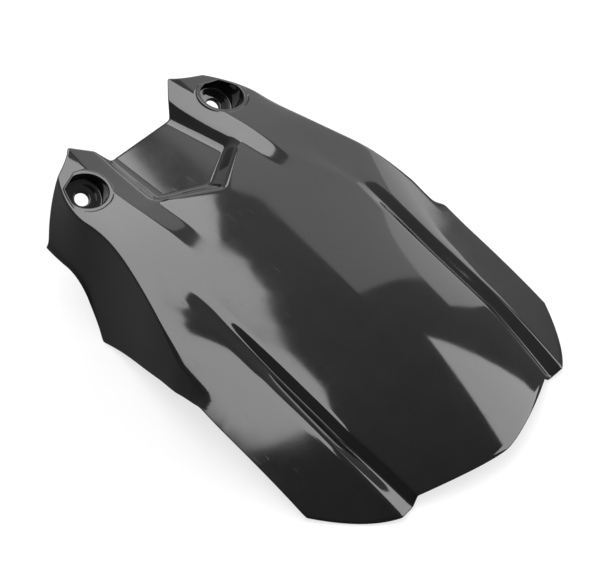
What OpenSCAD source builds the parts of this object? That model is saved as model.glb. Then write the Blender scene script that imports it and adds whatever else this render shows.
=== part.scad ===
// Rear fender of a motorcycle: one moulded shell of gloss plastic, millimetres.
// X is across, +Y is towards the front (the two ears), Z is up. The shell stands as it lies on a
// table: on its rear edge and on the lower corners of its two flanks. The origin is under the middle.

/* [Overall size] */
// Half of the width over the wings
half_width = 100; // [94:0.5:108]
// How far the arrow-shaped rear edge reaches back from the origin, on the centre line
rear_reach = 141.5; // [130:0.5:155]
// How far the ear tips reach forward of the origin
front_reach = 141.5; // [136:0.5:150]
// Wall thickness of the shell
wall = 2; // [1.6:0.1:3]

/* [Centre line] */
// Height of the outer surface at its highest place on the centre line
crest_h = 68.2; // [62:0.2:74]
// Where along Y that place is
crest_y = 90; // [80:0.5:98]
// Radius of the long arc the centre line follows down to the rear
crest_r = 485; // [450:1:540]

/* [Cross section] */
// Fall from the centre line to the inner rib line, at the rear
crown_rear = 10.9; // [8:0.1:13]
// The same fall at the ears, where the top is almost flat
crown_front = 1; // [0:0.1:3]
// Slope of the narrow strip between the two rib lines
shelf_slope = 0.19; // [0.1:0.01:0.3]
// Slope of the wings outside the ribs
wing_slope = 0.54; // [0.45:0.01:0.62]

/* [Ribs] */
// Half distance between the inner rib lines
rib_in = 58.4; // [55:0.2:61]
// Half distance between the outer rib lines
rib_out = 69; // [67:0.2:74]
// Distance from the inner rib line out to the bottom of the groove
groove_offset = 4; // [3:0.1:6]
// Depth of the groove where it is deepest
groove_depth = 4; // [1:0.1:5.5]
// How much the inner rib lines close in over the last part of the tail
rib_taper = 4.3; // [0:0.1:6]

/* [Rear edge] */
// Where along Y the inner rib lines end
rib_end = 125.1; // [120:0.1:128]
// Where along Y the rear corners of the wings are
wing_end = 90.2; // [84:0.2:98]
// How far the rear edge of a wing bulges beyond a straight line
wing_bulge = 4.2; // [0:0.1:6]

/* [Notch between the ears] */
// Height of the level notch floor
floor_h = 61.6; // [58:0.1:64]
// Half width of the notch floor at its front edge
floor_half_front = 23; // [20:0.2:25]
// Half width of the notch floor at its back corners
floor_half_back = 27; // [25.5:0.2:29]
// How far forward the notch floor reaches
floor_reach = 125; // [119:0.5:129]
// Where the step behind the floor starts, on the centre line
step_y = 60; // [50:0.5:64]

/* [Ears] */
// Half distance between the crests of the ears, at their back
ridge_half = 44; // [40:0.2:47]
// Half distance between the ear tips
tip_half = 39.2; // [36:0.2:42]
// How much the ears rise towards their tips
tip_rise = 7.2; // [3:0.1:10]
// How far the inner strip of an ear falls from its crest to the notch wall
strip_fall = 1.6; // [0.6:0.1:2.4]
// Half width over the ears, at the crease between top and flank
ear_half = 70; // [67:0.5:75]

/* [Flanks] */
// How far a flank leans out for each millimetre it goes down
flank_lean = 0.19; // [0.12:0.005:0.28]
// Height of the flank's lower edge under the ear
flank_front_h = 32.5; // [28:0.5:38]
// Height of the lower edge where it turns down to the foot
flank_mid_h = 22.5; // [16:0.5:27]
// Where along Y the foot of the flank stands
foot_y = 74.5; // [68:0.5:78]
// How far the flank bulges out at its front edge
flank_bulge = 1.6; // [0:0.2:5]

/* [Screw wells] */
// Half distance between the centres of the well mouths
well_half = 53.3; // [51:0.1:55]
// Where along Y the well mouths are
well_y = 112.3; // [108:0.1:115]
// Diameter of a screw well
well_d = 23; // [20:0.5:25]
// Diameter of the screw hole in the bottom of a well
hole_d = 8.3; // [5:0.1:10]
// Depth of a well along its own axis, from the middle of its mouth
well_depth = 13; // [9:0.5:16]
// How far a well leans back, in degrees from upright
well_lean = 30; // [20:1:36]
// How far the mouth of a well leans out, in degrees
well_turn = 6; // [0:1:12]
// Wall around a well
boss_wall = 2.4; // [1.8:0.1:3]
// Thickness of the seat under the screw head
seat_wall = 3; // [2:0.1:4]

/* [Hidden] */

// Grid: spans between guide lines from the centre to the lower edge of the flank, and three zones
// of rows: tail, step, ears.
span_steps = [4, 2, 2, 3, 1, 2, 4, 5];
tail_rows = 26;
step_rows = 3;
ear_rows = 10;
rows = tail_rows + step_rows + ear_rows;
guides = len(span_steps);

// Where the ribs start to fade and where they are gone
fade_rear = -60;
fade_front = 20;
// Where the crown has flattened out
flat_y = 80;
// Where the wing slope lets go and where the shoulder is level
slope_rear = -18;
slope_front = 45;
// Where the crease starts to run in from the wing edge and where it has reached the ear
crease_rear = -34;
crease_front = 95;
// Where the ears start to rise and where their noses start to close in
rise_y = 95;
nose_y = 97;
nose_trim = 12.5;
nose_reach = front_reach - 10.6;
// Share of that closing in which the lower edge of the flank doesn't follow
nose_share = 0.64;
// Width of the strip along the wing edge that twists into the flank
edge_strip = 6;
// Where the flank has grown out of the wing edge
flank_start = -16;
flank_full = 20;

function mix(a, b, t) = a + (b - a) * t;
function clamp01(t) = min(1, max(0, t));
function smooth(t) = let (c = clamp01(t)) c * c * (3 - 2 * c);
function ramp(y, y0, y1) = smooth((y - y0) / (y1 - y0));

// Centre line, its slope and the two falls that shape the section
function crest(y) = crest_h - crest_r + sqrt(crest_r * crest_r - (y - crest_y) * (y - crest_y));
function crest_slope(y) = -(y - crest_y) / sqrt(crest_r * crest_r - (y - crest_y) * (y - crest_y));
function crown(y) = mix(crown_rear, crown_front, ramp(y, fade_rear, flat_y));
function shelf(y) = mix(shelf_slope, 0.05, ramp(y, fade_rear, flat_y));
function side_slope(y) = wing_slope * (1 - ramp(y, slope_rear, slope_front));
function ear_lift(y) = tip_rise * pow(max(0, (y - rise_y) / (front_reach - rise_y)), 2);

// Rib lines; both bend in a little over the last part of the tail
function tail(y) = clamp01((-80 - y) / 45);
function rib_in_x(y) = rib_in - rib_taper * tail(y);
function rib_out_x(y) = rib_out - 0.35 * rib_taper * tail(y);

// Height of the outer surface without groove and notch
function top_z(a, y) = let (rin = rib_in_x(y), rout = rib_out_x(y))
    crest(y) + ear_lift(y)
    - crown(y) * pow(min(a, rin) / rin, 2)
    - shelf(y) * min(max(a - rin, 0), rout - rin)
    - side_slope(y) * max(a - rout, 0);

// Guide lines across the shell: how far from the middle each one is at a given Y
function ridge_x(y) = ridge_half - (ridge_half - tip_half) * pow(max(0, (y - 78) / (front_reach - 78)), 2);
function nose(y) = nose_trim * pow(max(0, (y - nose_y) / (nose_reach - nose_y)), 2);
function crease_free(y) = mix(ear_half, half_width, 1 - ramp(y, crease_rear, crease_front)) - nose(y);
function crease_x(y) = min(crease_free(y), half_width - edge_strip);
function rib_mix(rear, share, y) =
    mix(rear, mix(ridge_x(y), crease_x(y), share), ramp(y, fade_front, flat_y));
function edge_z(y) = y < flank_start ? top_z(half_width, y)
    : y < foot_y ? mix(top_z(half_width, flank_start), 0,
        let (t = (y - flank_start) / (foot_y - flank_start)) t - 0.22 * t * (1 - t))
    : y < 89 ? mix(0, flank_mid_h, (y - foot_y) / (89 - foot_y))
    : mix(flank_front_h, flank_mid_h, pow(1 - clamp01((y - 89) / 18), 2));
function edge_x(y) = let (hang = top_z(crease_x(y), y) - edge_z(y))
    mix(half_width, crease_x(y) + nose_share * nose(y) + flank_lean * hang,
        ramp(y, flank_start, flank_full));
function guide_x(k, y) =
    k == 0 ? 0
    : k == 1 ? mix(floor_half_back, floor_half_front, clamp01((y - 84) / (floor_reach - 84)))
    : k == 2 ? mix(floor_half_back + 6, floor_half_front + 6, clamp01((y - 84) / (floor_reach - 84)))
    : k == 3 ? ridge_x(y)
    : k == 4 ? rib_mix(rib_in_x(y), 0.3, y)
    : k == 5 ? rib_mix(rib_in_x(y) + groove_offset, 0.5, y)
    : k == 6 ? rib_mix(rib_out_x(y), 0.7, y)
    : k == 7 ? crease_x(y)
    : edge_x(y);

// Where each guide line ends at the rear and at the front, and where it crosses the step
rib_in_end = rib_in_x(-rib_end);
rib_out_end = rib_out_x(-rib_end);
corner_end = rib_end + 1.6;
function rear_y(a) =
    a < rib_in_end ? -rear_reach + (rear_reach - rib_end) * pow(a / rib_in_end, 1.5)
    : a < rib_out_end ? mix(-rib_end, -corner_end, (a - rib_in_end) / (rib_out_end - rib_in_end))
    : let (t = (half_width - a) / (half_width - rib_out_end))
        mix(-wing_end, -corner_end, t) - wing_bulge * 4 * t * (1 - t);
end_x = [0, floor_half_back, floor_half_back + 6, ridge_half, rib_in_end, rib_in_end + groove_offset,
    rib_out_end, half_width - edge_strip, half_width];
end_rear = [for (x = end_x) rear_y(x)];
step_top = [step_y, step_y + 17, step_y + 18, foot_y + 2, foot_y, foot_y, foot_y, foot_y, foot_y];
step_foot = [step_y + 10, 85, 87, 88, 89, 89, 89, 89, 89];
end_front = [
    floor_reach,
    floor_reach,
    floor_reach + 6.5,
    front_reach,
    mix(front_reach, nose_reach, 0.3),
    mix(front_reach, nose_reach, 0.5),
    mix(front_reach, nose_reach, 0.7),
    nose_reach,
    nose_reach - 5.4
];
function guide_y(k, r) =
    r < tail_rows ? mix(end_rear[k], step_top[k], r / tail_rows)
    : r < tail_rows + step_rows ? mix(step_top[k], step_foot[k], (r - tail_rows) / step_rows)
    : mix(step_foot[k], end_front[k], (r - tail_rows - step_rows) / ear_rows);

// How far a column between two guides is bowed at its rear end, and in the front edge of a flank
function rear_bow(k, f) = f == 0 ? 0
    : rear_y(mix(end_x[k], end_x[k + 1], f)) - mix(end_rear[k], end_rear[k + 1], f);
function front_share(f, r) =
    4 * f * (1 - f) * pow(clamp01((r - tail_rows - step_rows) / ear_rows), 2);

// One point of the outer surface: guide k, share f towards the next guide, row r
function plan(k, f, r) = let (
    y0 = guide_y(k, r),
    y1 = k < guides ? guide_y(k + 1, r) : y0,
    x0 = guide_x(k, y0),
    x1 = k < guides ? guide_x(k + 1, y1) : x0
) [
    mix(x0, x1, f) + (k == 7 ? flank_bulge / 3 * front_share(f, r) : 0),
    mix(y0, y1, f) + (k == 7 ? flank_bulge * front_share(f, r) : 0) + rear_bow(k, f) * max(0, 1 - r / tail_rows)
];
function notch_share(k, f, r) =
    (k == 0 ? 1 : k == 1 ? 1 - f : 0) * clamp01((r - tail_rows) / step_rows);
function strip_share(k, f, r) =
    (k == 2 ? 1 - f : k == 1 ? f : 0) * clamp01((r - tail_rows) / step_rows);
function groove_share(k, f, y) =
    (k == 4 ? f : k == 5 ? 1 - f : 0) * (1 - ramp(y, fade_rear, fade_front));
function outer_z(k, f, r, p) =
    k >= 7 ? mix(top_z(guide_x(7, p[1]), p[1]), edge_z(p[1]), k == 7 ? f : 1)
    : mix(top_z(p[0], p[1]), floor_h, notch_share(k, f, r))
        - strip_fall * strip_share(k, f, r) - groove_depth * groove_share(k, f, p[1]);
function outer_point(k, f, r) = let (p = plan(k, f, r)) [p[0], p[1], outer_z(k, f, r, p)];

// Direction from the outer to the inner surface: down on the top, inward on the flanks
function unit(v) = v / norm(v);
function turn_share(k, f, y) =
    (k < 6 ? 0 : k == 6 ? 0.5 * f * f : k == 7 ? mix(0.5, 1, min(1, 3 * f)) : 1) * ramp(y, -24, 16);
function inward(k, f, y) = let (w = turn_share(k, f, y))
    unit(mix(unit([0, crest_slope(y), -1]), [-1, 0, 0], w));
function inner_point(k, f, r) = let (p = outer_point(k, f, r)) p + 1.1 * wall * inward(k, f, p[1]);

// Columns of the half shell, then of the whole one
half_cols = concat(
    [for (k = [0:guides - 1]) for (i = [0:span_steps[k] - 1]) [k, i / span_steps[k]]],
    [[guides, 0]]
);
last = len(half_cols) - 1;
wide = 2 * last;
function side(p, c) = c < 0 ? [-p[0], p[1], p[2]] : p;
shell_points = concat(
    [for (c = [-last:last]) for (r = [0:rows])
        side(outer_point(half_cols[abs(c)][0], half_cols[abs(c)][1], r), c)],
    [for (c = [-last:last]) for (r = [0:rows])
        side(inner_point(half_cols[abs(c)][0], half_cols[abs(c)][1], r), c)]
);
inner_start = (wide + 1) * (rows + 1);
function out_id(c, r) = c * (rows + 1) + r;
function in_id(c, r) = inner_start + out_id(c, r);
shell_faces = concat(
    [for (c = [0:wide - 1]) for (r = [0:rows - 1]) for (t = [0, 1]) t == 0
        ? [out_id(c, r), out_id(c, r + 1), out_id(c + 1, r + 1)]
        : [out_id(c, r), out_id(c + 1, r + 1), out_id(c + 1, r)]],
    [for (c = [0:wide - 1]) for (r = [0:rows - 1]) for (t = [0, 1]) t == 0
        ? [in_id(c, r), in_id(c + 1, r + 1), in_id(c, r + 1)]
        : [in_id(c, r), in_id(c + 1, r), in_id(c + 1, r + 1)]],
    [for (c = [0:wide - 1]) for (t = [0, 1]) t == 0
        ? [out_id(c, 0), out_id(c + 1, 0), in_id(c + 1, 0)]
        : [out_id(c, 0), in_id(c + 1, 0), in_id(c, 0)]],
    [for (c = [0:wide - 1]) for (t = [0, 1]) t == 0
        ? [out_id(c, rows), in_id(c + 1, rows), out_id(c + 1, rows)]
        : [out_id(c, rows), in_id(c, rows), in_id(c + 1, rows)]],
    [for (r = [0:rows - 1]) for (t = [0, 1]) t == 0
        ? [out_id(0, r), in_id(0, r + 1), out_id(0, r + 1)]
        : [out_id(0, r), in_id(0, r), in_id(0, r + 1)]],
    [for (r = [0:rows - 1]) for (t = [0, 1]) t == 0
        ? [out_id(wide, r), out_id(wide, r + 1), in_id(wide, r + 1)]
        : [out_id(wide, r), in_id(wide, r + 1), in_id(wide, r)]]
);

// Middle of a well's mouth, on the ear's top
well_z = top_z(well_half, well_y);
ear_pitch = atan(crest_slope(well_y) + 2 * tip_rise * (well_y - rise_y) / pow(front_reach - rise_y, 2));

// Places a thing on the axis of one well: its own Z runs out of the mouth
module on_well(s) {
    translate([s * well_half, well_y, well_z])
        rotate([well_lean, s * well_turn, 0])
            children();
}

// The curved shell with ribs, notch and flanks
module shell() {
    polyhedron(points = shell_points, faces = shell_faces, convexity = 10);
}

// Tube and seat under one well, cut off level with the top of the ear
module boss(s) {
    intersection() {
        on_well(s)
            translate([0, 0, -well_depth - seat_wall])
                cylinder(h = well_depth + seat_wall + well_d, d = well_d + 2 * boss_wall, $fn = 48);
        translate([s * well_half, well_y, well_z])
            rotate([ear_pitch, 0, 0])
                translate([-30, -30, -39.7])
                    cube([60, 60, 40]);
    }
}

module fender() {
    color([0.03, 0.03, 0.035])
        difference() {
            union() {
                shell();
                boss(-1);
                boss(1);
            }
            for (s = [-1, 1]) on_well(s) {
                translate([0, 0, -well_depth])
                    cylinder(h = well_depth + well_d, d = well_d, $fn = 48);
                translate([0, 0, -well_depth - seat_wall - 20])
                    cylinder(h = seat_wall + 21, d = hole_d, $fn = 32);
            }
        }
}

fender();
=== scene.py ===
import math

import bmesh
import bpy
import numpy as np
from mathutils import Matrix, Vector


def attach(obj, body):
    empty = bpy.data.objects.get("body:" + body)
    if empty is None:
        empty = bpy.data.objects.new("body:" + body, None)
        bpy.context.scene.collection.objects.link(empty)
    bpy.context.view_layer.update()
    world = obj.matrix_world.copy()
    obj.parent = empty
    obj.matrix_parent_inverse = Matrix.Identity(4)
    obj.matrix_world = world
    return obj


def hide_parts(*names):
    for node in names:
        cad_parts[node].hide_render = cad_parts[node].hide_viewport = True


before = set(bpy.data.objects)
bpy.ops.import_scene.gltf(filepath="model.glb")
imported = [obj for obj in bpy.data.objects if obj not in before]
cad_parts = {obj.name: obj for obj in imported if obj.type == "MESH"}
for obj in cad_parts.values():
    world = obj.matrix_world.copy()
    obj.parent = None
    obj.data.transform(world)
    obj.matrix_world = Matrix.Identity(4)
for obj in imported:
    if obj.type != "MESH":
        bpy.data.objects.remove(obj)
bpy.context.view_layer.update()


# Outer face of the shell
# The fender is one thin moulding of gloss black plastic. Its top is drawn here as a net of guide
# lines that run from the rear edge to the ears, in the same millimetres as the solid it covers.

MM = 0.001
HALF_WIDTH = 100.0
REAR_REACH = 141.5
FRONT_REACH = 141.5
WALL = 2.0

# Centre line: a long arc over the middle
CREST_H, CREST_Y, CREST_R = 68.2, 90.0, 485.0
# Fall from the centre line to the ribs, and the slopes outside them, at the rear and in front
CROWN_REAR, CROWN_FRONT, CROWN_FADE = 10.9, 0.0, (-60, 80)
SHOULDER_REAR, SHOULDER_FRONT, SHOULDER_FADE = 0.19, 0.03, (-20, 75)
WING_REAR, WING_FRONT, WING_FADE = 0.57, 0.52, (-95, -45)
# Where along Y the shoulder comes out past the rib, and where its start moves in to the ridge
SHOULDER_OUT, SHOULDER_IN = (-60, -10), (10, 60)
# Soft fold between shoulder and wing, which drifts out to the crease
FOLD_SHARP, FOLD_WIDTH, FOLD_SOFTENS = 0.5, 20.0, (-90, 15)
FOLD_DRIFT, FOLD_Y, FOLD_RUN, FOLD_CURVE = 20.0, -32.0, 63.0, 1.4
# The shoulder rolls down a little at the crease, and less so on the ears
ROLL_REAR, ROLL_FRONT, ROLL_NARROWS = 12.0, 9.0, (30, 80)
ROLL_FALL, ROLL_START, ROLL_LESS, ROLL_EASES = 0.6, (25, 60), 0.6, (92, 108)

RIB_IN, RIB_OUT = 58.4, 69.0
RIB_TAPER, TAPER_Y, TAPER_RUN, TAPER_OUTER = 4.3, -80.0, 45.0, 0.35
GROOVE_OFFSET, GROOVE_DEPTH, GROOVE_FADE = 4.0, 4.0, (-45, 30)
RIB_END, WING_END, WING_BULGE = 125.1, 90.2, 4.2
CORNER_END = RIB_END + 1.6

# Notch between the ears: floor, walls, the step behind it and the strips beside it
FLOOR_H, FLOOR_HALF_FRONT, FLOOR_HALF_BACK = 61.6, 23.0, 27.0
FLOOR_REACH, FLOOR_BACK, NOTCH_WALL, STEP_Y = 125.0, 84.0, 6.0, 60.0
STRIP_FALL, STRIP_BEHIND, STRIP_FADE = 1.6, 0.7, (34, 76)

# Ears: their ridge, their tips, the guides on them between ridge and crease, and their noses
RIDGE_HALF, RIDGE_Y, TIP_HALF, TIP_RISE = 44.0, 78.0, 39.2, 7.2
EAR_HALF, RISE_Y, EAR_SHARES, RIB_TO_EAR = 70.0, 95.0, (0.3, 0.5, 0.7), (20, 80)
NOSE_Y, NOSE_TRIM, NOSE_SHARE, NOSE_REACH = 97.0, 12.5, 0.64, FRONT_REACH - 10.6

# Flanks: where they begin, their foot, the heights of their lower edge and its thin lip
EDGE_STRIP, CREASE_FADE = 6.0, (-34, 95)
FLANK_START, FLANK_FULL, FOOT_Y, HEEL_Y, HEEL_RUN = -16.0, 20.0, 74.5, 89.0, 18.0
FLANK_LEAN, FLANK_BULGE, FLANK_SAG = 0.19, 1.6, 0.22
FLANK_FRONT_H, FLANK_MID_H = 32.5, 22.5
LIP_OUT, LIP_REACH, LIP_FADE = 1.7, 0.9, (76, 92)

# Rows of the net belong to the tail, the step behind the notch or the ears
TAIL, STEP, EARS = 26.0, 3.0, 10.0


def mix(a, b, t):
    return a + (b - a) * t


def ramp(y, start, end):
    t = np.clip((y - start) / (end - start), 0, 1)
    return t * t * (3 - 2 * t)


def crest(y):
    return CREST_H - CREST_R + np.sqrt(CREST_R ** 2 - (y - CREST_Y) ** 2)


def ear_lift(y):
    return TIP_RISE * (np.maximum(0, y - RISE_Y) / (FRONT_REACH - RISE_Y)) ** 2


def rib_in_x(y):
    return RIB_IN - RIB_TAPER * np.clip((TAPER_Y - y) / TAPER_RUN, 0, 1)


def rib_out_x(y):
    return RIB_OUT - TAPER_OUTER * RIB_TAPER * np.clip((TAPER_Y - y) / TAPER_RUN, 0, 1)


def ridge_x(y):
    along = np.maximum(0, y - RIDGE_Y) / (FRONT_REACH - RIDGE_Y)
    return RIDGE_HALF - (RIDGE_HALF - TIP_HALF) * along ** 2


def nose(y):
    return NOSE_TRIM * (np.maximum(0, y - NOSE_Y) / (NOSE_REACH - NOSE_Y)) ** 2


def crease_x(y):
    free = mix(EAR_HALF, HALF_WIDTH, 1 - ramp(y, *CREASE_FADE)) - nose(y)
    return np.minimum(free, HALF_WIDTH - EDGE_STRIP)


def crown_fall(y):
    return mix(CROWN_REAR, CROWN_FRONT, ramp(y, *CROWN_FADE))


def shoulder_slope(y):
    return mix(SHOULDER_REAR, SHOULDER_FRONT, ramp(y, *SHOULDER_FADE))


def wing_fall(across, y):
    """How far the top falls outside a soft fold that runs from the rib's front end to the crease."""
    width = mix(FOLD_SHARP, FOLD_WIDTH, ramp(y, *FOLD_SOFTENS))
    drift = FOLD_DRIFT * np.maximum(0, (y - FOLD_Y) / FOLD_RUN) ** FOLD_CURVE
    beyond = np.maximum(across - (rib_out_x(y) + drift - width / 2), 0)
    slope = (mix(WING_REAR, WING_FRONT, ramp(y, *WING_FADE))
             - shoulder_slope(y) * ramp(y, *SHOULDER_OUT))
    return slope * np.where(beyond < width, beyond ** 2 / (2 * width), beyond - width / 2)


def shoulder_roll(across, y):
    """How far the level shoulder has rolled down at the crease."""
    width = mix(ROLL_REAR, ROLL_FRONT, ramp(y, *ROLL_NARROWS))
    near = np.clip(1 - (crease_x(y) - across) / width, 0, 1)
    return ROLL_FALL * ramp(y, *ROLL_START) * (1 - ROLL_LESS * ramp(y, *ROLL_EASES)) * near ** 2


def top_height(across, y):
    """Height of the outer face without grooves and notch."""
    rib_in, rib_out = rib_in_x(y), rib_out_x(y)
    start = mix(rib_in, RIDGE_HALF, ramp(y, *SHOULDER_IN))
    return (crest(y) + ear_lift(y)
            - crown_fall(y) * (np.minimum(across, rib_in) / rib_in) ** 2
            - shoulder_slope(y) * (np.clip(across - start, 0, rib_out - start)
                                   + ramp(y, *SHOULDER_OUT) * np.maximum(0, across - rib_out))
            - wing_fall(across, y) - shoulder_roll(across, y))


def lower_edge_z(y):
    start = top_height(HALF_WIDTH, np.float64(FLANK_START))
    t = (y - FLANK_START) / (FOOT_Y - FLANK_START)
    run_down = mix(start, 0, t - FLANK_SAG * t * (1 - t))
    run_up = mix(0, FLANK_MID_H, (y - FOOT_Y) / (HEEL_Y - FOOT_Y))
    under_ear = mix(FLANK_FRONT_H, FLANK_MID_H,
                    (1 - np.clip((y - HEEL_Y) / HEEL_RUN, 0, 1)) ** 2)
    return np.select([y < FLANK_START, y < FOOT_Y, y < HEEL_Y],
                     [top_height(HALF_WIDTH, y), run_down, run_up], under_ear)


def lower_edge_x(y):
    hang = top_height(crease_x(y), y) - lower_edge_z(y)
    return mix(HALF_WIDTH, crease_x(y) + NOSE_SHARE * nose(y) + FLANK_LEAN * hang,
               ramp(y, FLANK_START, FLANK_FULL))


def rib_guide(k, y):
    """Guides 4 to 6 follow the rib and its groove, and go on as lines on the ear."""
    on_rib = (rib_in_x(y), rib_in_x(y) + GROOVE_OFFSET, rib_out_x(y))[k - 4]
    return mix(on_rib, mix(ridge_x(y), crease_x(y), EAR_SHARES[k - 4]), ramp(y, *RIB_TO_EAR))


def guide_x(k, y):
    """Guides: 0 centre, 1 notch floor, 2 notch wall, 3 ear crest, 4-6 rib, 7 crease, 8 lower edge."""
    along_notch = np.clip((y - FLOOR_BACK) / (FLOOR_REACH - FLOOR_BACK), 0, 1)
    if k == 0:
        return np.zeros_like(y)
    if k < 3:
        return mix(FLOOR_HALF_BACK, FLOOR_HALF_FRONT, along_notch) + NOTCH_WALL * (k - 1)
    if k == 3:
        return ridge_x(y)
    if k < 7:
        return rib_guide(k, y)
    return crease_x(y) if k == 7 else lower_edge_x(y)


RIB_IN_END, RIB_OUT_END = rib_in_x(-RIB_END), rib_out_x(-RIB_END)


def rear_y(across):
    """The arrow-shaped rear edge: how far back it is at a distance from the middle."""
    t = (HALF_WIDTH - across) / (HALF_WIDTH - RIB_OUT_END)
    middle = -REAR_REACH + (REAR_REACH - RIB_END) * (across / RIB_IN_END) ** 1.5
    rib = mix(-RIB_END, -CORNER_END, (across - RIB_IN_END) / (RIB_OUT_END - RIB_IN_END))
    wing = mix(-WING_END, -CORNER_END, t) - WING_BULGE * 4 * t * (1 - t)
    return middle if across < RIB_IN_END else rib if across < RIB_OUT_END else wing


# Where along Y each guide starts, reaches the top and the foot of the step, and ends
END_X = [0, FLOOR_HALF_BACK, FLOOR_HALF_BACK + NOTCH_WALL, RIDGE_HALF, RIB_IN_END,
         RIB_IN_END + GROOVE_OFFSET, RIB_OUT_END, HALF_WIDTH - EDGE_STRIP, HALF_WIDTH]
END_REAR = [rear_y(x) for x in END_X]
STEP_TOP = [STEP_Y, STEP_Y + 17, STEP_Y + 18, FOOT_Y + 2] + [FOOT_Y] * 5
STEP_FOOT = [STEP_Y + 10, HEEL_Y - 4, HEEL_Y - 2, HEEL_Y - 1] + [HEEL_Y] * 5
END_FRONT = ([FLOOR_REACH, FLOOR_REACH, FLOOR_REACH + 6.5, FRONT_REACH]
             + [mix(FRONT_REACH, NOSE_REACH, share) for share in EAR_SHARES + (1.0,)]
             + [NOSE_REACH - 5.4])


def guide_y(k, r):
    """Where along Y a guide is at each row."""
    tail = mix(END_REAR[k], STEP_TOP[k], r / TAIL)
    step = mix(STEP_TOP[k], STEP_FOOT[k], (r - TAIL) / STEP)
    ears = mix(STEP_FOOT[k], END_FRONT[k], (r - TAIL - STEP) / EARS)
    return np.select([r < TAIL, r < TAIL + STEP], [tail, step], ears)


def face_column(k, f, r):
    """Points of the outer face at share f between guides k and k+1, for an array of rows r."""
    y0, y1 = guide_y(k, r), guide_y(k + 1, r)
    front = 4 * f * (1 - f) * np.clip((r - TAIL - STEP) / EARS, 0, 1) ** 2 * (k == 7)
    bow = rear_y(mix(END_X[k], END_X[k + 1], f)) - mix(END_REAR[k], END_REAR[k + 1], f)
    x = mix(guide_x(k, y0), guide_x(k + 1, y1), f) + FLANK_BULGE / 3 * front
    y = mix(y0, y1, f) + FLANK_BULGE * front + bow * np.maximum(0, 1 - r / TAIL)
    opened = np.clip((r - TAIL) / STEP, 0, 1)
    if k == 7:
        z = mix(top_height(crease_x(y), y), lower_edge_z(y), f)
        x = x + LIP_OUT * ramp(y, *LIP_FADE) * np.exp(-(z - lower_edge_z(y)) / LIP_REACH)
    else:
        notch = {0: 1, 1: 1 - f}.get(k, 0) * opened
        behind = {0: 0.6 * f, 1: mix(0.6, 1, f), 2: 1 - f}.get(k, 0) * ramp(y, *STRIP_FADE)
        strip = mix(STRIP_BEHIND * behind, {1: f, 2: 1 - f}.get(k, 0), opened)
        groove = {4: f, 5: 1 - f}.get(k, 0) * (1 - ramp(y, *GROOVE_FADE))
        z = mix(top_height(x, y), FLOOR_H, notch) - STRIP_FALL * strip - GROOVE_DEPTH * groove
    return np.stack([x, y, z], -1)


def rows_of_net(tail, step, ears):
    """Rows with the given numbers of them in the tail, the step and the ears."""
    return np.concatenate([np.linspace(0, TAIL, tail, endpoint=False),
                           np.linspace(TAIL, TAIL + STEP, step, endpoint=False),
                           np.linspace(TAIL + STEP, TAIL + STEP + EARS, ears)])


# A fine raw net first. Each corner in it is then rounded along the net, as a mould's edges are.
RAW_ROWS = rows_of_net(240, 60, 120)
RAW_SPAN = 24
MIRROR = np.array([-1.0, 1.0, 1.0])
raw_half = [face_column(k, i / RAW_SPAN, RAW_ROWS) for k in range(8) for i in range(RAW_SPAN)]
raw_half.append(face_column(7, 1.0, RAW_ROWS))
raw_half = np.array(raw_half)
raw_net = np.concatenate([raw_half[:0:-1] * MIRROR, raw_half])
RAW_LAST = len(raw_half) - 1

# How far a corner is rounded at each guide line, and how many columns lie between two of them
CORNER_REACH = [3.0, 2.2, 2.0, 1.5, 1.2, 1.6, 1.2, 1.6, 1.0]
SPAN_COLUMNS = [12, 7, 8, 10, 7, 7, 14, 22]
CROWDING = 0.6
ROW_REACH = 1.8
# Weights of the mean that rounds a corner, and how many points a line runs on past its ends for it
ROUNDING = [1, 3, 5, 6, 5, 3, 1]
RUN_ON = 40


def length_along(line):
    """How far along a line each of its points lies."""
    step = np.linalg.norm(np.diff(line, axis=0), axis=1)
    return np.concatenate([[0], np.cumsum(step)])


def rounded(line, places, reach):
    """Points of a line at the given places along it (0 to its length), each one the mean over a
    short reach on either side, so that corners turn into small radii. The two ends stay put."""
    along = length_along(line)
    before = 2 * line[0] - line[RUN_ON:0:-1]
    after = 2 * line[-1] - line[-2:-RUN_ON - 2:-1]
    line = np.concatenate([before, line, after])
    along = np.concatenate([-along[RUN_ON:0:-1], along, 2 * along[-1] - along[-2:-RUN_ON - 2:-1]])
    out = np.zeros((len(places), 3))
    for weight, shift in zip(ROUNDING, np.linspace(-1, 1, len(ROUNDING))):
        for axis in range(3):
            out[:, axis] += weight / sum(ROUNDING) * np.interp(places + shift * reach, along,
                                                               line[:, axis])
    return out


def column_places(along):
    """Places of the net's columns on one row of the right half, closer together at each guide."""
    places, reach = [], []
    for k in range(8):
        start, end = along[k * RAW_SPAN], along[(k + 1) * RAW_SPAN]
        for i in range(SPAN_COLUMNS[k]):
            t = i / SPAN_COLUMNS[k]
            t = mix(t, 0.5 - 0.5 * math.cos(math.pi * t), CROWDING) if k else t
            places.append(mix(start, end, t))
            reach.append(mix(CORNER_REACH[k], CORNER_REACH[k + 1], t))
    places.append(along[-1])
    reach.append(CORNER_REACH[8])
    return np.array(places), np.array(reach)


across_net = []
for row in range(len(RAW_ROWS)):
    line = raw_net[:, row]
    along = length_along(line)
    middle = along[RAW_LAST]
    places, reach = column_places(along[RAW_LAST:] - middle)
    places = np.concatenate([middle - places[:0:-1], middle + places])
    reach = np.concatenate([reach[:0:-1], reach])
    across_net.append(rounded(line, places, reach))
across_net = np.array(across_net).transpose(1, 0, 2)

NET_ROWS = rows_of_net(88, 18, 44)
outer = []
for line in across_net:
    outer.append(rounded(line, np.interp(NET_ROWS, RAW_ROWS, length_along(line)), ROW_REACH))
outer = np.array(outer)
COLUMNS, ROWS = outer.shape[:2]


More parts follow.
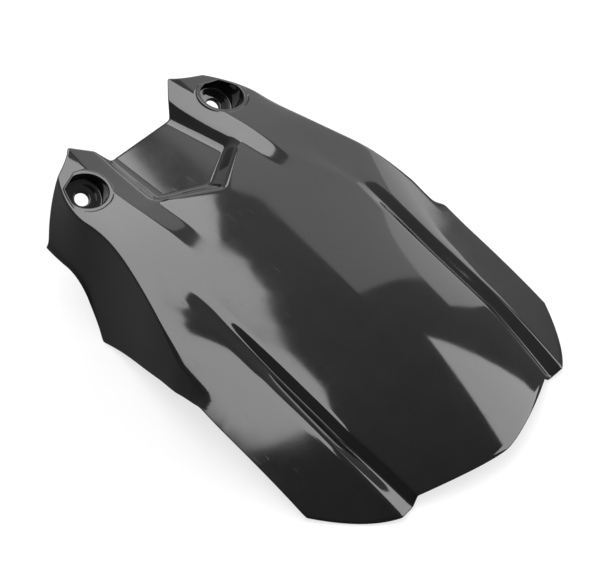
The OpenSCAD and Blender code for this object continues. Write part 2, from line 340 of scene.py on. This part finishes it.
# Inner face and rim
# The sheet is 2 mm thick all over. The inner face follows the outer one with softer corners, and
# a narrow rounded rim closes the sheet all the way round.

INNER_ROUNDS = 12
# Share of the way from the outer to the inner face, and how far out the rim stands there
RIM_PROFILE = [(0.07, 0.28), (0.24, 0.45), (0.76, 0.45), (0.93, 0.28)]
vertices = []
faces = []


def net_normals(net):
    """Normals of a net, out of the top side."""
    normal = np.cross(np.gradient(net, axis=0), np.gradient(net, axis=1))
    return normal / np.linalg.norm(normal, axis=-1, keepdims=True)


def relaxed(field, rounds):
    """The field with each inner value moved towards the mean of its neighbours."""
    for _ in range(rounds):
        padded = np.pad(field, ((1, 1), (1, 1), (0, 0)), mode="edge")
        field = (padded[:-2, 1:-1] + padded[2:, 1:-1] + padded[1:-1, :-2] + padded[1:-1, 2:]) / 4
    return field


def add_points(points):
    """Adds points in millimetres and gives their numbers."""
    start = len(vertices)
    vertices.extend(np.reshape(points, (-1, 3)).tolist())
    return list(range(start, len(vertices)))


def join_rings(first, second, flip=False):
    """Quads between two closed rings of points of the same length."""
    for i in range(len(first)):
        j = (i + 1) % len(first)
        quad = (first[i], first[j], second[j], second[i])
        faces.append(quad[::-1] if flip else quad)


inward = -relaxed(net_normals(outer), INNER_ROUNDS)
inward /= np.linalg.norm(inward, axis=-1, keepdims=True)
inner = outer + WALL * inward
top_id = np.array(add_points(outer)).reshape(COLUMNS, ROWS)
under_id = np.array(add_points(inner)).reshape(COLUMNS, ROWS)

rim_c = np.concatenate([np.arange(COLUMNS), np.full(ROWS - 1, COLUMNS - 1),
                        np.arange(COLUMNS - 2, -1, -1), np.zeros(ROWS - 2, int)])
rim_r = np.concatenate([np.zeros(COLUMNS, int), np.arange(1, ROWS),
                        np.full(COLUMNS - 1, ROWS - 1), np.arange(ROWS - 2, 0, -1)])
rim_top = outer[rim_c, rim_r]
rim_under = inner[rim_c, rim_r]
outward = rim_top - outer[np.clip(rim_c, 1, COLUMNS - 2), np.clip(rim_r, 1, ROWS - 2)]
outward /= np.linalg.norm(outward, axis=1, keepdims=True)
rim_rings = [list(top_id[rim_c, rim_r])]
for share, out in RIM_PROFILE:
    rim_rings.append(add_points(mix(rim_top, rim_under, share) + out * outward))
rim_rings.append(list(under_id[rim_c, rim_r]))
for upper, lower in zip(rim_rings, rim_rings[1:]):
    join_rings(lower, upper)


# Screw wells in the ears
# A round cup is sunk into the top of each ear. It leans back, has a level land and a soft lip round
# its mouth, a seat for the head of a screw at its bottom and a clear hole through that seat.

WELL_HALF, WELL_Y, WELL_RADIUS, HOLE_RADIUS = 53.3, 112.3, 11.5, 4.15
WELL_DEPTH, SEAT_WALL, TUBE_RADIUS = 13.0, 3.0, 13.1
WELL_LEAN, WELL_TURN = math.radians(30), math.radians(6)
LAND_WIDTH, LAND_RISE, LAND_SIDE, LAND_PITCH = 2.2, 0.35, 0.04, 0.09
LIP_WIDTH, WALL_TOP, SEAT_FILLET = 0.75, 0.75, 0.7
# Rings on the way from the net's block to the land, and round the tube underneath
SKIRT_SHARES = (0.72, 0.47, 0.27, 0.12, 0)
TUBE_SHARES = (0.66, 0.36, 0.14, 0)
# The lip: share of its width left, and how deep it has fallen there
LIP_PROFILE = ((1.0, 0.0), (0.62, 0.05), (0.3, 0.17), (0.1, 0.38), (0.0, WALL_TOP))
# The seat, the hole and the underside: distance from the axis, and height over the seat
SEAT_PROFILE = ((11.3, 0.2), (10.8, 0), (8.0, 0), (4.9, 0), (4.4, -0.12), (HOLE_RADIUS, -0.5),
                (HOLE_RADIUS, 0.4 - SEAT_WALL), (4.4, -SEAT_WALL), (8.0, -SEAT_WALL),
                (12.3, -SEAT_WALL), (12.9, 0.2 - SEAT_WALL), (TUBE_RADIUS, 0.7 - SEAT_WALL))

well_axis = np.array([math.sin(WELL_TURN) * math.cos(WELL_LEAN), -math.sin(WELL_LEAN),
                      math.cos(WELL_TURN) * math.cos(WELL_LEAN)])
well_axis /= np.linalg.norm(well_axis)
land_normal = np.array([LAND_SIDE, -LAND_PITCH, 1.0])
land_normal /= np.linalg.norm(land_normal)

from_mouth = np.linalg.norm(outer[..., :2] - np.array([WELL_HALF, WELL_Y]), axis=-1)
hub_c, hub_r = (int(i) for i in np.unravel_index(np.argmin(from_mouth), from_mouth.shape))
well_mouth = np.array([WELL_HALF, WELL_Y, outer[hub_c, hub_r, 2] + LAND_RISE])

# Blocks of the net that the well replaces: first and last column, first and last row
INNER_SIDE, BLOCK_BEHIND, BLOCK_AHEAD = 36.5, 15, 14
crease_column = COLUMNS // 2 + sum(SPAN_COLUMNS[:7])
inner_column = int(np.argmin(np.abs(outer[:, hub_r, 0] - INNER_SIDE)))
mouth_block = (inner_column, crease_column - 3, hub_r - BLOCK_BEHIND, hub_r + BLOCK_AHEAD)
under_block = (inner_column, crease_column + 9, hub_r - BLOCK_BEHIND, hub_r + BLOCK_AHEAD)


def on_net(net, column, row):
    """Points of a net between its columns and rows."""
    c = np.clip(np.floor(column).astype(int), 0, COLUMNS - 2)
    r = np.clip(np.floor(row).astype(int), 0, ROWS - 2)
    u, v = (column - c)[:, None], (row - r)[:, None]
    return mix(mix(net[c, r], net[c + 1, r], u), mix(net[c, r + 1], net[c + 1, r + 1], u), v)


def off_axis(points):
    """How far points lie from the axis of the right well, and the direction towards them."""
    offset = points - well_mouth
    offset = offset - (offset @ well_axis)[:, None] * well_axis
    distance = np.linalg.norm(offset, axis=1)
    return distance, offset / distance[:, None]


def block_loop(block):
    """Columns and rows along the edge of a block of the net, round it once."""
    c0, c1, r0, r1 = block
    columns = [*range(c0, c1)] + [c1] * (r1 - r0) + [*range(c1, c0, -1)] + [c0] * (r1 - r0)
    rows = [r0] * (c1 - c0) + [*range(r0, r1)] + [r1] * (c1 - c0) + [*range(r1, r0, -1)]
    return np.array(columns, float), np.array(rows, float)


def block_cells(block):
    """The cells of a block and of its mirror image."""
    c0, c1, r0, r1 = block
    right = {(c, r) for c in range(c0, c1) for r in range(r0, r1)}
    return right | {(COLUMNS - 2 - c, r) for c, r in right}


def net_ring(net, loop, share):
    """Points of the net at a share of the way from the mouth's middle to a loop."""
    return on_net(net, mix(hub_c, loop[0], share), mix(hub_r, loop[1], share))


def share_at(net, loop, reach):
    """On the way from the mouth's middle to a loop, the share at which the axis is that far off."""
    low, high = np.zeros(len(loop[0])), np.ones(len(loop[0]))
    for _ in range(24):
        share = (low + high) / 2
        near = off_axis(net_ring(net, loop, share))[0] < reach
        low, high = np.where(near, share, low), np.where(near, high, share)
    return np.minimum(high, 0.96)


def well_rings():
    """Rings of points of the right well, from the net's block round its mouth down to its seat and
    back up on the outside."""
    loop = block_loop(mouth_block)
    edge = share_at(outer, loop, WELL_RADIUS + LAND_WIDTH + 0.6)
    rings = [net_ring(outer, loop, mix(edge, 1, share)) for share in SKIRT_SHARES]
    reach, way = off_axis(rings[-1])
    plane = -(way @ land_normal) / (well_axis @ land_normal)

    def at(distance, height):
        """A ring at a distance from the axis and a height along it, each one value or one a point."""
        height = np.broadcast_to(height, len(way))[:, None]
        return well_mouth + way * np.reshape(distance, (-1, 1)) + height * well_axis

    # From the skin of the ear to the level land
    land = reach - 0.55
    gap = (at(reach, plane * reach) - rings[-1]) @ well_axis
    for beyond, share in ((0.3, 0.7), (0.05, 0.12), (-0.25, 0)):
        rings.append(at(land + beyond, plane * (land + beyond) - share * gap))
    # Across the land, over the lip and down the wall
    lip = np.minimum(WELL_RADIUS + LIP_WIDTH, land - 0.4)
    halfway = (lip + land - 0.25) / 2
    rings.append(at(halfway, plane * halfway))
    for share, drop in LIP_PROFILE:
        distance = mix(WELL_RADIUS, lip, share)
        rings.append(at(distance, plane * distance - drop))
    for share in (0.25, 0.5, 0.75, 1):
        rings.append(at(WELL_RADIUS, mix(plane * WELL_RADIUS - WALL_TOP, SEAT_FILLET - WELL_DEPTH,
                                         share)))
    # Seat, hole and underside, then up on the outside of the tube into the ear's sheet
    for distance, height in SEAT_PROFILE:
        rings.append(at(distance, height - WELL_DEPTH))
    hidden = plane * TUBE_RADIUS - LAND_RISE - 1.3
    for share in (0.34, 0.67, 1):
        rings.append(at(TUBE_RADIUS, mix(0.7 - SEAT_WALL - WELL_DEPTH, hidden, share)))
    return rings


def tube_rings():
    """Rings on the inner face, from the net's block to inside the wall of the tube."""
    loop = block_loop(under_block)
    edge = share_at(inner, loop, WELL_RADIUS + 0.8)
    return [net_ring(inner, loop, mix(edge, 1, share)) for share in TUBE_SHARES]


right_rings, right_under = well_rings(), tube_rings()
for side in (1, -1):
    for rings, block, ids, flip in ((right_rings, mouth_block, top_id, side < 0),
                                    (right_under, under_block, under_id, side > 0)):
        columns, rows = block_loop(block)
        columns = columns if side > 0 else COLUMNS - 1 - columns
        ring = list(ids[columns.astype(int), rows.astype(int)])
        for points in rings:
            following = add_points(points * np.array([side, 1, 1]))
            join_rings(ring, following, flip)
            ring = following

mouth_cells, under_cells = block_cells(mouth_block), block_cells(under_block)
for c in range(COLUMNS - 1):
    for r in range(ROWS - 1):
        if (c, r) not in mouth_cells:
            faces.append((top_id[c, r], top_id[c + 1, r], top_id[c + 1, r + 1], top_id[c, r + 1]))
        if (c, r) not in under_cells:
            faces.append((under_id[c, r], under_id[c, r + 1],
                          under_id[c + 1, r + 1], under_id[c + 1, r]))
faces = [tuple(int(i) for i in face) for face in faces]

shell_mesh = bpy.data.meshes.new("fender_shell")
shell_mesh.from_pydata((np.array(vertices) * MM).tolist(), [], faces)
used = {i for face in faces for i in face}
clean = bmesh.new()
clean.from_mesh(shell_mesh)
spare = [point for point in clean.verts if point.index not in used]
bmesh.ops.delete(clean, geom=spare, context="VERTS")
clean.to_mesh(shell_mesh)
clean.free()
shell_mesh.shade_smooth()
shell = bpy.data.objects.new("fender_shell", shell_mesh)
bpy.context.scene.collection.objects.link(shell)


# Gloss black plastic
# The moulding is black all through and was moulded against a polished tool. It is dark and glossy,
# with the faint waviness of moulded sheet, a little uneven gloss and very fine handling marks.

gloss = bpy.data.materials.new("gloss_black_plastic")
gloss.use_nodes = True
nodes, links = gloss.node_tree.nodes, gloss.node_tree.links
shader = nodes["Principled BSDF"]
shader.inputs["IOR"].default_value = 1.58


# These four add a node to the tree that the names nodes and links stand for at the time
def noise(vector, scale, detail, rough=0.5):
    node = nodes.new("ShaderNodeTexNoise")
    node.inputs["Scale"].default_value = scale
    node.inputs["Detail"].default_value = detail
    node.inputs["Roughness"].default_value = rough
    links.new(vector, node.inputs["Vector"])
    return node.outputs["Fac"]


def remapped(value, before, after):
    """A value moved from one span of numbers to another."""
    node = nodes.new("ShaderNodeMapRange")
    for name, number in zip(("From Min", "From Max", "To Min", "To Max"), before + after):
        node.inputs[name].default_value = number
    links.new(value, node.inputs["Value"])
    return node.outputs["Result"]


def combined(operation, first, second):
    node = nodes.new("ShaderNodeMath")
    node.operation = operation
    links.new(first, node.inputs[0])
    links.new(second, node.inputs[1])
    return node.outputs["Value"]


def bumped(height, strength, distance):
    node = nodes.new("ShaderNodeBump")
    node.inputs["Strength"].default_value = strength
    node.inputs["Distance"].default_value = distance
    links.new(height, node.inputs["Height"])
    return node


place = nodes.new("ShaderNodeTexCoord").outputs["Object"]
film = noise(place, 60, 5, 0.65)
stretch = nodes.new("ShaderNodeMapping")
stretch.inputs["Scale"].default_value = (900, 70, 300)
stretch.inputs["Rotation"].default_value = (0, 0, 0.6)
links.new(place, stretch.inputs["Vector"])
marks = noise(stretch.outputs["Vector"], 1, 2)

tint = nodes.new("ShaderNodeValToRGB")
tint.color_ramp.elements[0].position = 0.3
tint.color_ramp.elements[0].color = (0.0045, 0.0046, 0.0050, 1)
tint.color_ramp.elements[1].position = 0.75
tint.color_ramp.elements[1].color = (0.0075, 0.0076, 0.0080, 1)
links.new(film, tint.inputs["Fac"])
links.new(tint.outputs["Color"], shader.inputs["Base Color"])

polish = remapped(film, (0.35, 0.7), (0.05, 0.075))
scuffs = remapped(marks, (0.66, 0.8), (0, 0.09))
links.new(combined("ADD", polish, scuffs), shader.inputs["Roughness"])

swell = bumped(noise(place, 26, 1), 1, 0.00002)
skin = bumped(noise(place, 900, 3), 0.5, 0.0000008)
links.new(swell.outputs["Normal"], skin.inputs["Normal"])
links.new(skin.outputs["Normal"], shader.inputs["Normal"])
shell_mesh.materials.append(gloss)

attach(shell, "root")
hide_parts("fender")


# Floor, light and camera
# A plain pale floor, four large soft light panels far off, which the gloss shows as bright fields
# with straight edges, a dim room that is lighter towards the front right, and the photo's view.

STUDIO_HALF = 9.0
corner_signs = ((-1, -1), (1, -1), (1, 1), (-1, 1))
floor_mesh = bpy.data.meshes.new("studio_floor")
floor_mesh.from_pydata([(x * STUDIO_HALF, y * STUDIO_HALF, 0) for x, y in corner_signs],
                       [], [(0, 1, 2, 3)])
floor = bpy.data.objects.new("studio_floor", floor_mesh)
bpy.context.scene.collection.objects.link(floor)

# The floor is white to the camera, with a faint shadow, and a quiet grey in the gloss
white = bpy.data.materials.new("studio_white")
white.use_nodes = True
nodes, links = white.node_tree.nodes, white.node_tree.links
paint = nodes["Principled BSDF"]
paint.inputs["Base Color"].default_value = (0.16, 0.16, 0.16, 1)
paint.inputs["Roughness"].default_value = 0.9
paint.inputs["Specular IOR Level"].default_value = 0
pale = nodes.new("ShaderNodeBsdfDiffuse")
pale.inputs["Color"].default_value = (0.85, 0.85, 0.85, 1)
lit = nodes.new("ShaderNodeEmission")
lit.inputs["Strength"].default_value = 1.02
backdrop = nodes.new("ShaderNodeMixShader")
backdrop.inputs["Fac"].default_value = 0.72
links.new(pale.outputs["BSDF"], backdrop.inputs[1])
links.new(lit.outputs["Emission"], backdrop.inputs[2])
floor_path = nodes.new("ShaderNodeLightPath")
seen = nodes.new("ShaderNodeMixShader")
links.new(floor_path.outputs["Is Camera Ray"], seen.inputs["Fac"])
links.new(paint.outputs["BSDF"], seen.inputs[1])
links.new(backdrop.outputs["Shader"], seen.inputs[2])
links.new(seen.outputs["Shader"], nodes["Material Output"].inputs["Surface"])
floor_mesh.materials.append(white)


def soft_panel(name, corners, strength):
    """A panel of light that only its reflections and its light show."""
    mesh = bpy.data.meshes.new(name)
    mesh.from_pydata(corners, [], [list(range(len(corners)))])
    panel = bpy.data.objects.new(name, mesh)
    bpy.context.scene.collection.objects.link(panel)
    panel.visible_camera = False
    glow = bpy.data.materials.new(name)
    glow.use_nodes = True
    tree = glow.node_tree
    light = tree.nodes.new("ShaderNodeEmission")
    light.inputs["Strength"].default_value = strength
    tree.links.new(light.outputs["Emission"], tree.nodes["Material Output"].inputs["Surface"])
    mesh.materials.append(glow)


def overhead(height, plan):
    """Corners of a level panel, by the slopes of the lines from the origin to them."""
    return [(x * height, y * height, height) for x, y in plan]


def far_off(distance, directions):
    """Corners of a panel, by the directions in which they are seen from the origin."""
    return [Vector(way).normalized() * distance for way in directions]


OVER_LEFT = [(0.39, 0.21), (0.58, 0.5), (0.69, 0.8), (0.75, 1.0), (-0.50, 0.6),
             (-0.50, -0.36), (-0.3, -0.3), (-0.03, -0.11), (0.07, -0.055), (0.25, 0.07)]
RIGHT = [(0.63, -0.165, 0.75), (0.93, -0.30, 0.22), (0.60, -0.78, 0.16), (0.36, -0.70, 0.62)]
LOW_RIGHT = [(0.98, -0.02, 0.10), (0.76, 0.65, 0.10), (0.68, 0.58, 0.40), (0.84, -0.06, 0.52)]
BEHIND = [(0.62, 0.0, 1.0), (1.0, 0.02, 0.1), (0.60, 1.0, 0.1), (0.74, 0.85, 1.0)]
soft_panel("panel_over_left", overhead(4.0, OVER_LEFT), 4.9)
soft_panel("panel_right", far_off(4.5, RIGHT), 4.6)
soft_panel("panel_low_right", far_off(4.5, LOW_RIGHT), 2.4)
soft_panel("panel_behind", far_off(7.0, BEHIND), 1.5)

# The room: white to the camera, dimmer towards the back and the left
world = bpy.data.worlds.new("studio_air")
world.use_nodes = True
nodes, links = world.node_tree.nodes, world.node_tree.links
room = nodes.new("ShaderNodeTexCoord")
direction = nodes.new("ShaderNodeSeparateXYZ")
links.new(room.outputs["Generated"], direction.inputs["Vector"])
to_front = remapped(direction.outputs["Y"], (-0.5, 0.2), (0.22, 0.52))
to_right = remapped(direction.outputs["X"], (-0.7, -0.1), (0.4, 1))
room_path = nodes.new("ShaderNodeLightPath")
pick = nodes.new("ShaderNodeMix")
pick.inputs["B"].default_value = 1
links.new(room_path.outputs["Is Camera Ray"], pick.inputs["Factor"])
links.new(combined("MULTIPLY", to_front, to_right), pick.inputs["A"])
links.new(pick.outputs["Result"], nodes["Background"].inputs["Strength"])
nodes["Background"].inputs["Color"].default_value = (1, 1, 1, 1)
bpy.context.scene.world = world

PHOTO_WIDTH = 600
FOCAL_PIXELS = 1946.16
SENSOR_WIDTH = 36
CAMERA_PLACE = Vector((-0.541, -0.484, 0.8048))
CAMERA_TURN, CAMERA_DROP = math.radians(47.927), math.radians(47.0)
camera_data = bpy.data.cameras.new("photo_camera")
camera_data.sensor_width = SENSOR_WIDTH
camera_data.lens = FOCAL_PIXELS / PHOTO_WIDTH * SENSOR_WIDTH
camera = bpy.data.objects.new("photo_camera", camera_data)
right = Vector((math.cos(CAMERA_TURN), -math.sin(CAMERA_TURN), 0))
up = Vector((math.sin(CAMERA_TURN) * math.sin(CAMERA_DROP),
             math.cos(CAMERA_TURN) * math.sin(CAMERA_DROP), math.cos(CAMERA_DROP)))
turned = Matrix((right, up, right.cross(up))).transposed().to_4x4()
camera.matrix_world = Matrix.Translation(CAMERA_PLACE) @ turned
bpy.context.scene.collection.objects.link(camera)
bpy.context.scene.camera = camera
bpy.context.scene.view_settings.view_transform = "Standard"
